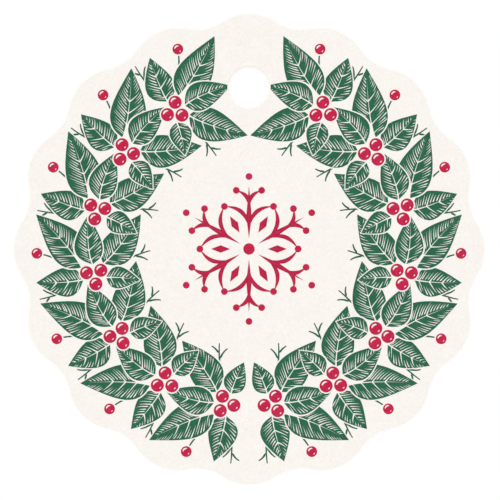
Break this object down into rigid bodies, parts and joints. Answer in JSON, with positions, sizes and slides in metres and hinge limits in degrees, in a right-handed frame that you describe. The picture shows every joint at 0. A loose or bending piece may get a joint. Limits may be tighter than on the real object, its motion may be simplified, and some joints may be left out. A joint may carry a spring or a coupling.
{
  "type": "gift tag",
  "caption": "Round flat card gift tag with a wavy die-cut edge, a punched string hole near the top and a printed ring of leaves and berries round a star.",
  "frame": {"origin": "centre of the round card, on its back face", "axes": "+Z out of the printed face, +Y from the centre of the card to the string hole, +X to the right of the printed face"},
  "size_m": [0.07, 0.07, 0.0005],
  "materials": {
    "cover_stock": "uncoated cream cotton cover stock, smooth felt side",
    "dried_paste": "dried paste, seen only as a line at the cut edge",
    "green_ink": "matte dark green printing ink",
    "red_ink": "matte crimson printing ink"
  },
  "bodies": {
    "root": {"back_sheet": "cover_stock", "paste_layer": "dried_paste", "front_sheet": "cover_stock", "green_ink": "green_ink", "red_ink": "red_ink"}
  },
  "joints": []
}
